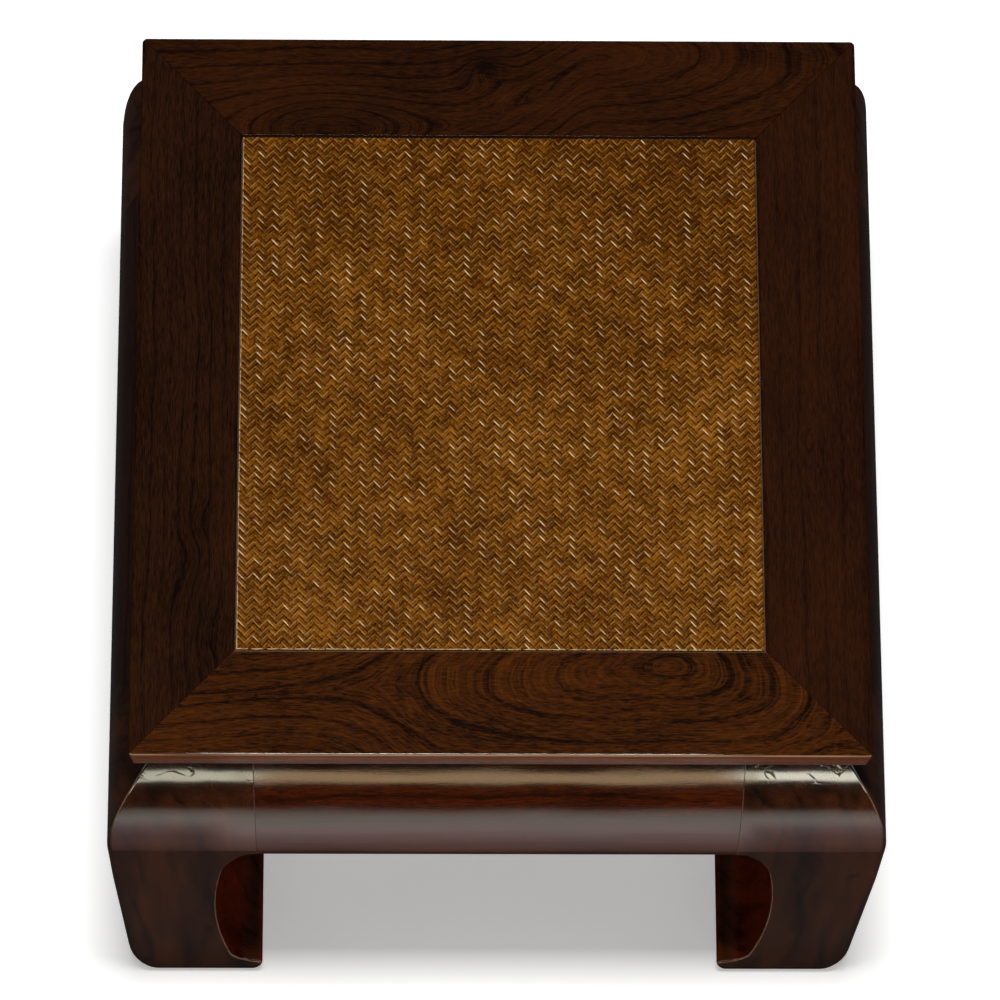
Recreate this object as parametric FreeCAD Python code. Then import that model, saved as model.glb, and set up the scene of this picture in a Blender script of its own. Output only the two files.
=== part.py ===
import FreeCAD, Part
import math
import os

# Lamp table with a woven rattan top.
# Millimetres. X to the right, Y to the back, Z up; the origin is on the floor under the middle.

Vector = FreeCAD.Vector
UP = Vector(0, 0, 1)
quarter_turn = 90
full_turn = 360

# Overall sizes
top_width = 559.0
top_depth = 586.0
table_height = 559.0

# Top frame
slab_thickness = 30.0
side_rail_width = 78.9
cross_rail_width = 82.4
slab_corner_radius = 4.0
slab_top_arris = 1.8
slab_lower_arris = 1.2
fascia_lean = 2.5
opening_arris = 0.8
mitre_tenon_near = 22.0
mitre_tenon_far = 60.0
mitre_tenon_cover = 16.0
mitre_tenon_root = 24.0
mitre_tenon_thickness = 9.0
mitre_tenon_depth_below_top = 8.0
tenon_end_gap = 0.5

# Mat, its board and the battens
mat_drop = 0.8
mat_thickness = 3.0
mat_edge_gap = 1.2
board_thickness = 12.0
board_edge_gap = 0.5
tongue_length = 8.0
tongue_thickness = 6.0
groove_depth = 9.0
batten_offset = 100.0
batten_width = 30.0
dovetail_depth = 4.0
dovetail_wide = 24.0
dovetail_neck = 18.0
batten_tenon_length = 16.0
batten_tenon_width = 20.0
batten_tenon_thickness = 8.0
batten_tenon_cover = 3.0

# Outer outline of legs and aprons; insets count inwards from the edge of the top
waist_height = 24.0
shoulder_edge_inset = 16.3
shoulder_slope = 34.0
shoulder_radius = 235.0
foot_height = 36.0
foot_radius = 213.0
edge_rounding_rise = 10.0
foot_edge_radius = 18.0
edge_margin = 6.0

# Inner outline of a leg, from the apron down to the toe that curls inwards
seam_inset = 92.5
apron_height = 135.0
bracket_slope = 90.0
bracket_radius = 13.5
bracket_turn = 56.5
thigh_radius = 116.0
thigh_turn = 26.4
calf_radius = 1025.0
calf_end_height = 60.8
instep_radius = 36.0
instep_turn = 58.6
toe_radius = 8.0
toe_front_radius = 73.0

# Inside of legs and aprons, and the waist
apron_back_inset = 30.0
waist_inset = 17.0
pocket_depth = 95.0
neck_tenon_near = 40.0
neck_tenon_far = 80.0
neck_tenon_skin = 2.0
neck_tenon_height = 11.0
apron_tenon_drop = 40.0
apron_tenon_height = 65.0
apron_tenon_near = 6.0
apron_tenon_thickness = 12.0
apron_tenon_length = 22.0
waist_tongue_thickness = 5.0
waist_tongue_height = 5.0

# Corner braces and fastenings
brace_side = 62.0
brace_height = 44.0
screw_shank_radius = 2.2
screw_head_radius = 4.5
screw_head_height = 2.8
screw_point_length = 5.0
shank_gap = 0.25
diagonal_screw_length = 60.0
diagonal_screw_rise = 11.0
top_screw_near = 40.0
top_screw_far = 70.0
top_screw_bite = 14.0
pin_radius = 3.5
pin_gap = 0.25
pin_far = 54.0
pin_near = 40.0

half_width = top_width / 2
half_depth = top_depth / 2
opening_half_width = half_width - side_rail_width
opening_half_depth = half_depth - cross_rail_width
slab_underside = table_height - slab_thickness
shoulder_height = slab_underside - waist_height
apron_underside = shoulder_height - apron_height
edge_rounding_start = apron_underside + edge_rounding_rise
pocket_floor = shoulder_height - pocket_depth
apron_tenon_high = shoulder_height - apron_tenon_drop
apron_tenon_low = apron_tenon_high - apron_tenon_height
brace_low = slab_underside - brace_height
diagonal_screw_height = brace_low + diagonal_screw_rise
top_screw_length = brace_height + top_screw_bite
mat_top = table_height - mat_drop
board_top = mat_top - mat_thickness
board_underside = board_top - board_thickness
mitre_tenon_top = table_height - mitre_tenon_depth_below_top
mitre_tenon_low = mitre_tenon_top - mitre_tenon_thickness
pin_height = mitre_tenon_top - slab_underside
level_tolerance = 0.01
bulge = shoulder_radius * (1 - math.cos(math.radians(shoulder_slope))) - shoulder_edge_inset


def box(low, high):
    size = [b - a for a, b in zip(low, high)]
    return Part.makeBox(size[0], size[1], size[2], Vector(low[0], low[1], low[2]))


def plate(half_x, half_y, low, high):
    return box((-half_x, -half_y, low), (half_x, half_y, high))


def prism(outline, low, high):
    points = [Vector(x, y, low) for x, y in outline]
    wire = Part.makePolygon(points + points[:1])
    return Part.Face(wire).extrude(UP * (high - low))


def whole(shape):
    """One clean solid out of a result that holds a single one."""
    solids = shape.removeSplitter().Solids
    assert len(solids) == 1, len(solids)
    return solids[0]


def cut_all(shape, tools):
    for tool in tools:
        shape = shape.cut(tool)
    return shape


def mirrored(shape, across_x, across_y):
    centre = Vector(0, 0, 0)
    if across_x:
        shape = shape.mirror(centre, Vector(1, 0, 0))
    if across_y:
        shape = shape.mirror(centre, Vector(0, 1, 0))
    return shape


# Everything at a corner is drawn for the front left one, in distances in from the top's two edges.
# The swap turns a shape on the front side of that corner into its twin on the left side.
corner = Vector(-half_width, -half_depth, 0)


def corner_box(across, inward, low, high):
    """A box at the front left corner: across runs along the front, inward towards the back."""
    start = (corner.x + across[0], corner.y + inward[0], low)
    end = (corner.x + across[1], corner.y + inward[1], high)
    return box(start, end)


def swapped(shape):
    return shape.mirror(corner, Vector(1, -1, 0))


corners = {
    "front_left": (False, False),
    "front_right": (True, False),
    "back_left": (False, True),
    "back_right": (True, True),
}
all_corners = list(corners.values())


def at_all_corners(shape):
    return [mirrored(shape, *way) for way in all_corners]


# Outlines of the legs and aprons


class Outline:
    """Round and straight stretches in one view, each running on smoothly from the one before.

    Drawn downwards: the heading is the angle from straight down, positive when it runs outwards.
    """

    def __init__(self, place, inset, height, heading):
        self.place = place
        self.inset = inset
        self.height = height
        self.heading = math.radians(heading)
        self.edges = []

    def end(self):
        return self.place(self.inset, self.height)

    def after_turn(self, radius, turn):
        side = math.copysign(1, turn)
        heading = self.heading + turn
        across = radius * side * (math.cos(heading) - math.cos(self.heading))
        down = radius * side * (math.sin(heading) - math.sin(self.heading))
        return self.inset + across, self.height - down

    def bend(self, radius, turn):
        """A round stretch through an angle, outwards when the turn is positive."""
        middle = self.place(*self.after_turn(radius, turn / 2))
        start = self.end()
        self.inset, self.height = self.after_turn(radius, turn)
        self.heading += turn
        self.edges.append(Part.Arc(start, middle, self.end()).toShape())

    def bend_to(self, radius, height, side):
        """A round stretch down to a height, turning outwards when the side is 1."""
        sine = math.sin(self.heading) + side * (self.height - height) / radius
        self.bend(radius, math.asin(sine) - self.heading)

    def drop_to(self, height):
        """A straight stretch down."""
        start = self.end()
        self.height = height
        self.edges.append(line(start, self.end()))


def line(a, b):
    return Part.LineSegment(a, b).toShape()


def front_place(inset, height):
    """A point of the front view, on the plane of the top's front edge."""
    return Vector(corner.x + inset, corner.y, height)


def side_place(inset, height):
    """A point of the left side view, on the plane of the top's left edge."""
    return Vector(corner.x, corner.y + inset, height)


def outer_outline(place, straight_end):
    outline = Outline(place, shoulder_edge_inset, shoulder_height, shoulder_slope)
    outline.bend(shoulder_radius, -math.radians(shoulder_slope))
    outline.drop_to(straight_end)
    return outline


def inner_outline(place):
    outline = Outline(place, seam_inset, apron_underside, bracket_slope)
    outline.bend(bracket_radius, -math.radians(bracket_turn))
    outline.bend(thigh_radius, -math.radians(thigh_turn))
    outline.bend_to(calf_radius, calf_end_height, -1)
    outline.bend(instep_radius, -math.radians(instep_turn))
    outline.bend(toe_radius, -outline.heading)
    outline.bend_to(toe_front_radius, 0, 1)
    return outline


def face_within(edges):
    return Part.Face(Part.Wire(Part.__sortEdges__(edges)))


def leg_slab(place, along):
    """The leg's outline in one view, carried through the leg in depth."""
    outer = outer_outline(place, foot_height)
    outer.bend_to(foot_radius, 0, -1)
    inner = inner_outline(place)
    outer_top = place(shoulder_edge_inset, shoulder_height)
    seam_top = place(seam_inset, shoulder_height)
    seam_low = place(seam_inset, apron_underside)
    closing = [line(outer_top, seam_top), line(seam_top, seam_low), line(inner.end(), outer.end())]
    face = face_within(outer.edges + inner.edges + closing)
    outside = -bulge - edge_margin
    face.translate(along * outside)
    return face.extrude(along * (seam_inset - outside))


# The upright edge of a leg is crisp at the shoulder and grows rounder towards the foot.
# The rounding is part of a cone that touches both faces; its point is where the rounding starts.
cone_reach_share = 1.2


def edge_section(share):
    """Plan of what lies outside the cone's touching points, at a share of the way to the floor."""
    near = -bulge - edge_margin
    far = -bulge + edge_margin + share * foot_edge_radius
    height = edge_rounding_start * (1 - share)
    outline = [(far, near), (near, near), (near, far)]
    points = [Vector(corner.x + across, corner.y + inward, height) for across, inward in outline]
    return Part.makePolygon(points + points[:1])


def edge_waste():
    """What the rounding takes off a leg's upright edge."""
    point = Vector(corner.x - bulge, corner.y - bulge, edge_rounding_start)
    axis = Vector(foot_edge_radius, foot_edge_radius, -edge_rounding_start)
    length = axis.Length * cone_reach_share
    radius = length * math.tan(math.asin(foot_edge_radius / axis.Length))
    cone = Part.makeCone(0, radius, length, point, axis)
    block = Part.makeLoft([edge_section(0), edge_section(cone_reach_share)], True, True)
    return block.cut(cone)


def is_level(edge, height):
    return all(abs(v.Z - height) < level_tolerance for v in edge.Vertexes)


def make_leg():
    leg = leg_slab(front_place, Vector(0, 1, 0)).common(leg_slab(side_place, Vector(1, 0, 0)))
    leg = leg.cut(edge_waste())
    inside = (apron_back_inset, seam_inset + edge_margin)
    pocket = corner_box(inside, inside, pocket_floor, table_height)
    neck_reach = (waist_inset, seam_inset)
    neck = corner_box(neck_reach, neck_reach, shoulder_height, slab_underside)
    leg = leg.fuse(neck).cut(pocket)
    for tenon in neck_tenons(0):
        leg = leg.fuse(tenon)
    return whole(cut_all(leg, apron_mortises() + [diagonal_screw_hole()]))


def neck_tenons(gap):
    first = corner_box(
        (neck_tenon_near, neck_tenon_far),
        (waist_inset + neck_tenon_skin, apron_back_inset - neck_tenon_skin),
        slab_underside,
        slab_underside + neck_tenon_height + gap,
    )
    return [first, swapped(first)]


def apron_mortises():
    first = corner_box(
        (seam_inset - apron_tenon_length - tenon_end_gap, seam_inset),
        (apron_tenon_near, apron_tenon_near + apron_tenon_thickness),
        apron_tenon_low,
        apron_tenon_high,
    )
    return [first, swapped(first)]


# Top frame


def make_slab():
    """The whole top before its opening is cut; its edges lean in towards the underside."""
    lower_x = half_width - fascia_lean
    lower_y = half_depth - fascia_lean
    slab = Part.makeWedge(
        -lower_x,
        slab_underside,
        -lower_y,
        -half_depth,
        -half_width,
        lower_x,
        table_height,
        lower_y,
        half_depth,
        half_width,
    )
    slab.rotate(Vector(0, 0, 0), Vector(1, 0, 0), quarter_turn)
    upright = [e for e in slab.Edges if not is_level(e, slab_underside) and not is_level(e, table_height)]
    slab = slab.makeFillet(slab_corner_radius, upright)
    slab = slab.makeFillet(slab_top_arris, [e for e in slab.Edges if is_level(e, table_height)])
    return slab.makeFillet(slab_lower_arris, [e for e in slab.Edges if is_level(e, slab_underside)])


def make_ring():
    """The four members of the top frame as one piece, before the mitres part them."""
    slab = make_slab()
    opening = plate(opening_half_width, opening_half_depth, slab_underside, table_height)
    ring = slab.cut(opening)
    tongue_top = board_underside + tongue_thickness
    groove = plate(
        opening_half_width + groove_depth,
        opening_half_depth + groove_depth,
        board_underside,
        tongue_top,
    )
    return ring.cut(groove)


def eased_rim(rail):
    """The rail with the upper edge of its opening side rounded."""
    rim = []
    for edge in rail.Edges:
        across = max(abs(v.X) for v in edge.Vertexes)
        inward = max(abs(v.Y) for v in edge.Vertexes)
        by_opening = across < opening_half_width + level_tolerance and inward < opening_half_depth + level_tolerance
        if by_opening and is_level(edge, table_height):
            rim.append(edge)
    return rail.makeFillet(opening_arris, rim)


def mitre_tenon(gap):
    """The tenon of the left rail in the front one; with a gap it is the mortise."""
    return corner_box(
        (mitre_tenon_near, mitre_tenon_far),
        (mitre_tenon_cover - gap, cross_rail_width + mitre_tenon_root),
        mitre_tenon_low,
        mitre_tenon_top,
    )


def beyond_mitre(share):
    """A point on the front left mitre line: 0 at the top's corner, 1 at the opening's."""
    return corner.x + share * side_rail_width, corner.y + share * cross_rail_width


outside_share = -0.5
front_wedge = [
    beyond_mitre(outside_share),
    (-beyond_mitre(outside_share)[0], beyond_mitre(outside_share)[1]),
    (opening_half_width, -opening_half_depth),
    (-opening_half_width, -opening_half_depth),
]
left_wedge = [
    beyond_mitre(outside_share),
    (-opening_half_width, -opening_half_depth),
    (-opening_half_width, opening_half_depth),
    (beyond_mitre(outside_share)[0], -beyond_mitre(outside_share)[1]),
]


def corner_twins(shape, ways):
    return [mirrored(shape, *way) for way in ways]


front_corners = [(False, False), (True, False)]
left_corners = [(False, False), (False, True)]


def make_front_rail(ring):
    rail = eased_rim(ring.common(prism(front_wedge, slab_underside, table_height)))
    cutters = [mitre_tenon(tenon_end_gap), neck_tenons(tenon_end_gap)[0], pin_hole(), top_screw_hole()]
    for cutter in cutters:
        rail = cut_all(rail, corner_twins(cutter, front_corners))
    for side in (-1, 1):
        rail = rail.cut(batten_tenon(side, -1, tenon_end_gap))
    return whole(rail)


def make_left_rail(ring):
    rail = eased_rim(ring.common(prism(left_wedge, slab_underside, table_height)))
    for way in left_corners:
        rail = rail.fuse(mirrored(mitre_tenon(0), *way))
    for cutter in (neck_tenons(tenon_end_gap)[1], pin_hole()):
        rail = cut_all(rail, corner_twins(cutter, left_corners))
    return whole(rail)


# Mat, board and battens


def make_mat():
    half_x = opening_half_width - mat_edge_gap
    half_y = opening_half_depth - mat_edge_gap
    return plate(half_x, half_y, board_top, mat_top)


def make_board():
    half_x = opening_half_width - board_edge_gap
    half_y = opening_half_depth - board_edge_gap
    board = plate(half_x, half_y, board_underside, board_top)
    tongue = plate(
        opening_half_width + tongue_length,
        opening_half_depth + tongue_length,
        board_underside,
        board_underside + tongue_thickness,
    )
    board = board.fuse(tongue)
    for side in (-1, 1):
        board = board.cut(dovetail(side, opening_half_depth + tongue_length))
    return whole(board)


def dovetail(side, half_length):
    middle = side * batten_offset
    outline = [
        (middle - dovetail_neck / 2, board_underside),
        (middle + dovetail_neck / 2, board_underside),
        (middle + dovetail_wide / 2, board_underside + dovetail_depth),
        (middle - dovetail_wide / 2, board_underside + dovetail_depth),
    ]
    points = [Vector(x, -half_length, z) for x, z in outline]
    face = Part.Face(Part.makePolygon(points + points[:1]))
    return face.extrude(Vector(0, half_length + half_length, 0))


def batten_tenon(side, end, gap):
    """The tenon at one end of a batten; with a gap it is the mortise in the rail."""
    middle = side * batten_offset
    low = slab_underside + batten_tenon_cover
    near = opening_half_depth - batten_width
    if gap:
        near = opening_half_depth
    far = opening_half_depth + batten_tenon_length + gap
    ends = sorted((end * near, end * far))
    return box(
        (middle - batten_tenon_width / 2, ends[0], low),
        (middle + batten_tenon_width / 2, ends[1], low + batten_tenon_thickness),
    )


def make_batten(side):
    middle = side * batten_offset
    bar = box(
        (middle - batten_width / 2, -opening_half_depth, slab_underside),
        (middle + batten_width / 2, opening_half_depth, board_underside),
    )
    bar = bar.fuse(dovetail(side, opening_half_depth))
    for end in (-1, 1):
        bar = bar.fuse(batten_tenon(side, end, 0))
    return whole(bar)


# Aprons and waist strips, drawn on the front side and turned for the others


def turned(shape, side):
    """From the front side to the named side; left and right ones are made for their own length."""
    if side == "back":
        return mirrored(shape, False, True)
    if side == "right":
        return mirrored(shape, True, False)
    return shape


def side_frame(side):
    """Place of a side's outline point, its direction of length and half its length at the seams."""
    if side in ("front", "back"):
        half = half_width - seam_inset
        return (lambda inset, height, along: Vector(along, corner.y + inset, height)), half
    half = half_depth - seam_inset
    return (lambda inset, height, along: Vector(corner.x + inset, along, height)), half


def side_bar(side, insets, heights, half_length):
    place = side_frame(side)[0]
    a = place(insets[0], heights[0], -half_length)
    b = place(insets[1], heights[1], half_length)
    low = [min(a[i], b[i]) for i in range(3)]
    high = [max(a[i], b[i]) for i in range(3)]
    return box(low, high)


def waist_tongue(side, half_length, gap):
    middle = (waist_inset + apron_back_inset) / 2
    return side_bar(
        side,
        (middle - waist_tongue_thickness / 2, middle + waist_tongue_thickness / 2),
        (shoulder_height - waist_tongue_height - gap, shoulder_height),
        half_length,
    )


def make_apron(side):
    place, half = side_frame(side)
    outer = outer_outline(lambda inset, height: place(inset, height, -half), apron_underside)
    corners_inside = [(apron_back_inset, apron_underside), (apron_back_inset, shoulder_height)]
    low, high = [place(inset, height, -half) for inset, height in corners_inside]
    top = place(shoulder_edge_inset, shoulder_height, -half)
    face = face_within(outer.edges + [line(outer.end(), low), line(low, high), line(high, top)])
    apron = face.extrude(place(0, 0, half) - place(0, 0, -half))
    tenon = side_bar(
        side,
        (apron_tenon_near, apron_tenon_near + apron_tenon_thickness),
        (apron_tenon_low, apron_tenon_high),
        half + apron_tenon_length,
    )
    apron = apron.fuse(tenon).cut(waist_tongue(side, half, tenon_end_gap))
    return whole(apron)


def make_waist(side):
    half = side_frame(side)[1]
    strip = side_bar(side, (waist_inset, apron_back_inset), (shoulder_height, slab_underside), half)
    return whole(strip.fuse(waist_tongue(side, half, 0)))


# Corner braces, screws and pins


def cylinder(radius, length, place, way):
    return Part.makeCylinder(radius, length, place, way)


def make_screw(length):
    """A screw along +Z, its head's flat underside at the origin."""
    shank = length - screw_point_length
    outline = [
        (0, -screw_head_height),
        (screw_head_radius, -screw_head_height),
        (screw_head_radius, 0),
        (screw_shank_radius, 0),
        (screw_shank_radius, shank),
        (0, length),
    ]
    points = [Vector(r, 0, z) for r, z in outline]
    return Part.Face(Part.makePolygon(points + points[:1])).revolve(Vector(0, 0, 0), UP, full_turn)


def placed(shape, place, way):
    """A shape drawn along +Z, moved to a place and turned to a direction."""
    moved = shape.copy()
    moved.Placement = FreeCAD.Placement(place, FreeCAD.Rotation(UP, way))
    return moved


def screw_hole(length, place, way):
    return cylinder(screw_shank_radius + shank_gap, length + shank_gap, place, way)


def diagonal_screw_seat():
    """On the middle of the brace's long face."""
    inset = apron_back_inset + brace_side / 2
    return Vector(corner.x + inset, corner.y + inset, diagonal_screw_height)


to_the_corner = Vector(-1, -1, 0)


def diagonal_screw_hole():
    return screw_hole(diagonal_screw_length, diagonal_screw_seat(), to_the_corner)


def top_screw_seat():
    return Vector(corner.x + top_screw_far, corner.y + top_screw_near, brace_low)


def top_screw_hole():
    return screw_hole(top_screw_length, top_screw_seat(), UP)


def pin_place():
    return Vector(corner.x + pin_far, corner.y + pin_near, slab_underside)


def pin_hole():
    return cylinder(pin_radius + pin_gap, pin_height, pin_place(), UP)


def make_brace():
    near = apron_back_inset
    outline = [(near, near), (near + brace_side, near), (near, near + brace_side)]
    points = [(corner.x + across, corner.y + inward) for across, inward in outline]
    brace = prism(points, brace_low, slab_underside)
    return whole(cut_all(brace, [diagonal_screw_hole(), top_screw_hole()]))


# Building and writing out

os.makedirs("parts", exist_ok=True)
parts = {}

ring = make_ring()
front_rail = make_front_rail(ring)
left_rail = make_left_rail(ring)
parts["top_rail_front"] = front_rail
parts["top_rail_back"] = turned(front_rail, "back")
parts["top_rail_left"] = left_rail
parts["top_rail_right"] = turned(left_rail, "right")
parts["rattan_mat"] = make_mat()
parts["mat_board"] = make_board()
parts["batten_left"] = make_batten(-1)
parts["batten_right"] = make_batten(1)

for side in ("front", "back", "left", "right"):
    parts["apron_" + side] = turned(make_apron(side), side)
    parts["waist_" + side] = turned(make_waist(side), side)

leg = make_leg()
brace = make_brace()
for name, way in corners.items():
    parts["leg_" + name] = mirrored(leg, *way)
    parts["corner_brace_" + name] = mirrored(brace, *way)

diagonal_screw = placed(make_screw(diagonal_screw_length), diagonal_screw_seat(), to_the_corner)
parts["brace_screws"] = Part.makeCompound(at_all_corners(diagonal_screw))
top_screw = placed(make_screw(top_screw_length), top_screw_seat(), UP)
parts["top_screws"] = Part.makeCompound(at_all_corners(top_screw))
pin = cylinder(pin_radius, pin_height, pin_place(), UP)
parts["mitre_pins"] = Part.makeCompound(at_all_corners(pin))

for name, shape in parts.items():
    shape.exportStep("parts/" + name + ".step")
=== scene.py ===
import math
import random

import bmesh
import bpy
from mathutils import Matrix, Vector


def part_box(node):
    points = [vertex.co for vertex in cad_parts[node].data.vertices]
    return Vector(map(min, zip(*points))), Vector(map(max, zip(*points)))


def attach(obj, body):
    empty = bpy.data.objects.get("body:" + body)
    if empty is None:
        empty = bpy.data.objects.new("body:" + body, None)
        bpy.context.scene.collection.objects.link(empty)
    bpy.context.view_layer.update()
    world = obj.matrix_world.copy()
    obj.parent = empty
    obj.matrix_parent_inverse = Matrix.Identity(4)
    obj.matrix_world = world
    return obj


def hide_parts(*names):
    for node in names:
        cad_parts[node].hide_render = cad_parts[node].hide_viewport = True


# Lamp table with a woven rattan top, dressed for its picture.
# Metres, in the same frame as the solids: X to the right, Y to the back, Z up, origin on the floor.

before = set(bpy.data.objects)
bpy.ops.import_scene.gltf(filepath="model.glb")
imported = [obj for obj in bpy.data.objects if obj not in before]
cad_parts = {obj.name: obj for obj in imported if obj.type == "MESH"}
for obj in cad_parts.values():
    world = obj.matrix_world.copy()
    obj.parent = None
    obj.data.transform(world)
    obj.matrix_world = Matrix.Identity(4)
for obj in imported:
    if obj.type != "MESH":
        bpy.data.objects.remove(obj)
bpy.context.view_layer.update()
mm = 0.001

# Sizes of the solids that the dressed pieces repeat
half_width = 279.5 * mm
half_depth = 293.0 * mm
table_height = 559.0 * mm
slab_thickness = 30.0 * mm
side_rail_width = 78.9 * mm
cross_rail_width = 82.4 * mm
slab_corner_radius = 4.0 * mm
slab_top_arris = 1.8 * mm
slab_lower_arris = 1.2 * mm
fascia_lean = 2.5 * mm
opening_arris = 0.8 * mm
groove_depth = 9.0 * mm
waist_height = 24.0 * mm
waist_inset = 17.0 * mm
shoulder_edge_inset = 16.3 * mm
shoulder_slope = math.radians(34.0)
shoulder_radius = 235.0 * mm
foot_height = 36.0 * mm
foot_radius = 213.0 * mm
edge_rounding_rise = 10.0 * mm
seam_inset = 92.5 * mm
apron_height = 135.0 * mm
bracket_slope = math.radians(90.0)
bracket_radius = 13.5 * mm
bracket_turn = math.radians(56.5)
thigh_radius = 116.0 * mm
thigh_turn = math.radians(26.4)
calf_radius = 1025.0 * mm
calf_end_height = 60.8 * mm
instep_radius = 36.0 * mm
instep_turn = math.radians(58.6)
toe_radius = 8.0 * mm
toe_front_radius = 73.0 * mm
inside_inset = 30.0 * mm
pocket_depth = 95.0 * mm

slab_underside = table_height - slab_thickness
shoulder_height = slab_underside - waist_height
apron_underside = shoulder_height - apron_height
pocket_floor = shoulder_height - pocket_depth
edge_rounding_start = apron_underside + edge_rounding_rise
opening_half_width = half_width - side_rail_width
opening_half_depth = half_depth - cross_rail_width

# Eased edges that the solids leave sharp or round less
foot_edge_radius = 21.0 * mm
shoulder_arris = 1.7 * mm
leg_arris = 1.5 * mm
toe_rounding = 3.0 * mm
seam_arris = 0.35 * mm
apron_arris = 1.6 * mm
hidden_arris = 0.4 * mm
sole_arris = 1.6 * mm
edge_softening_start = 470.0 * mm
edge_softening_end = 400.0 * mm


# Outlines as chains of round stretches


class Profile:
    """An outline drawn downwards from round stretches; its inset can be asked at any height."""

    def __init__(self, inset, height, heading):
        self.inset = inset
        self.height = height
        self.heading = heading
        self.stretches = []

    def bend(self, radius, turn, steps):
        side = math.copysign(1, turn)
        self.stretches.append((self.inset, self.height, self.heading, radius * side, turn, steps))
        end = self.heading + turn
        self.inset += radius * side * (math.cos(end) - math.cos(self.heading))
        self.height -= radius * side * (math.sin(end) - math.sin(self.heading))
        self.heading = end

    def bend_to(self, radius, height, side, steps):
        sine = math.sin(self.heading) + side * (self.height - height) / radius
        self.bend(radius, math.asin(sine) - self.heading, steps)

    def drop_to(self, height):
        self.height = height

    def heights(self):
        found = []
        for inset, height, heading, radius, turn, steps in self.stretches:
            for step in range(steps + 1):
                angle = heading + turn * step / steps
                found.append(height - radius * (math.sin(angle) - math.sin(heading)))
        return found

    def inset_at(self, height):
        place = self.stretches[0][0]
        for inset, start, heading, radius, turn, steps in self.stretches:
            end = start - radius * (math.sin(heading + turn) - math.sin(heading))
            inside = max(end, min(start, height))
            sine = math.sin(heading) + (start - inside) / radius
            angle = math.asin(max(-1, min(1, sine)))
            if height <= start:
                place = inset + radius * (math.cos(angle) - math.cos(heading))
        return place


def outer_profile():
    profile = Profile(shoulder_edge_inset, shoulder_height, shoulder_slope)
    profile.bend(shoulder_radius, -shoulder_slope, 24)
    profile.drop_to(foot_height)
    profile.bend_to(foot_radius, 0, -1, 6)
    return profile


def inner_profile():
    profile = Profile(seam_inset, apron_underside, bracket_slope)
    profile.bend(bracket_radius, -bracket_turn, 10)
    profile.bend(thigh_radius, -thigh_turn, 10)
    profile.bend_to(calf_radius, calf_end_height, -1, 14)
    profile.bend(instep_radius, -instep_turn, 10)
    profile.bend(toe_radius, -profile.heading, 8)
    profile.bend_to(toe_front_radius, 0, 1, 6)
    return profile


outer = outer_profile()
inner = inner_profile()


# Mesh helpers


def put_in(name, data):
    made = bpy.data.objects.new(name, data)
    bpy.context.collection.objects.link(made)
    return made


def new_piece(name, points, faces, slot, smooth_angle=40):
    mesh = bpy.data.meshes.new(name)
    mesh.from_pydata([tuple(p) for p in points], [], faces)
    shape = bmesh.new()
    shape.from_mesh(mesh)
    bmesh.ops.remove_doubles(shape, verts=shape.verts, dist=0.002 * mm)
    bmesh.ops.recalc_face_normals(shape, faces=shape.faces)
    shape.to_mesh(mesh)
    shape.free()
    mesh.shade_smooth()
    mesh.set_sharp_from_angle(angle=math.radians(smooth_angle))
    piece = put_in(name, mesh)
    flatten = piece.modifiers.new("flat_faces_stay_flat", "WEIGHTED_NORMAL")
    flatten.keep_sharp = True
    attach(piece, "root")
    return piece


def loft(rings):
    """Points and faces of a skin through closed rings of equal length, with its ends filled."""
    count = len(rings[0])
    points = [p for ring in rings for p in ring]
    faces = []
    for k in range(len(rings) - 1):
        for i in range(count):
            j = (i + 1) % count
            faces.append((k * count + i, k * count + j, (k + 1) * count + j, (k + 1) * count + i))
    last = (len(rings) - 1) * count
    faces.append(tuple(range(count)))
    faces.append(tuple(range(last, last + count)))
    return points, faces


def directions(corners, k):
    """From a corner towards the one before it and the one after it; each corner is (point, radius)."""
    corner = corners[k][0]
    after = corners[(k + 1) % len(corners)][0]
    return (corners[k - 1][0] - corner).normalized(), (after - corner).normalized()


def rounded(corners, steps=4):
    """A closed outline with its corners rounded."""
    outline = []
    for k, (corner, radius) in enumerate(corners):
        before, after = directions(corners, k)
        half = before.angle(after) / 2
        reach = radius / math.tan(half)
        start = corner + before * reach
        middle = corner + (before + after).normalized() * (radius / math.sin(half))
        arm = start - middle
        swing = math.pi - 2 * half
        side = 1 if before.cross(after) < 0 else -1
        for step in range(steps + 1):
            turn = side * swing * step / steps
            cosine = math.cos(turn)
            sine = math.sin(turn)
            turned = Vector((arm.x * cosine - arm.y * sine, arm.x * sine + arm.y * cosine))
            outline.append(middle + turned)
    return outline


def shrunk(outline, distance):
    """A closed outline moved inwards by a small distance."""
    area = sum(a.cross(b) for a, b in zip(outline, outline[1:] + outline[:1]))
    side = 1 if area > 0 else -1
    moved = []
    for k, point in enumerate(outline):
        run = outline[(k + 1) % len(outline)] - outline[k - 1]
        normal = Vector((-run.y, run.x)).normalized() * side
        moved.append(point + normal * distance)
    return moved


# Legs


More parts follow.
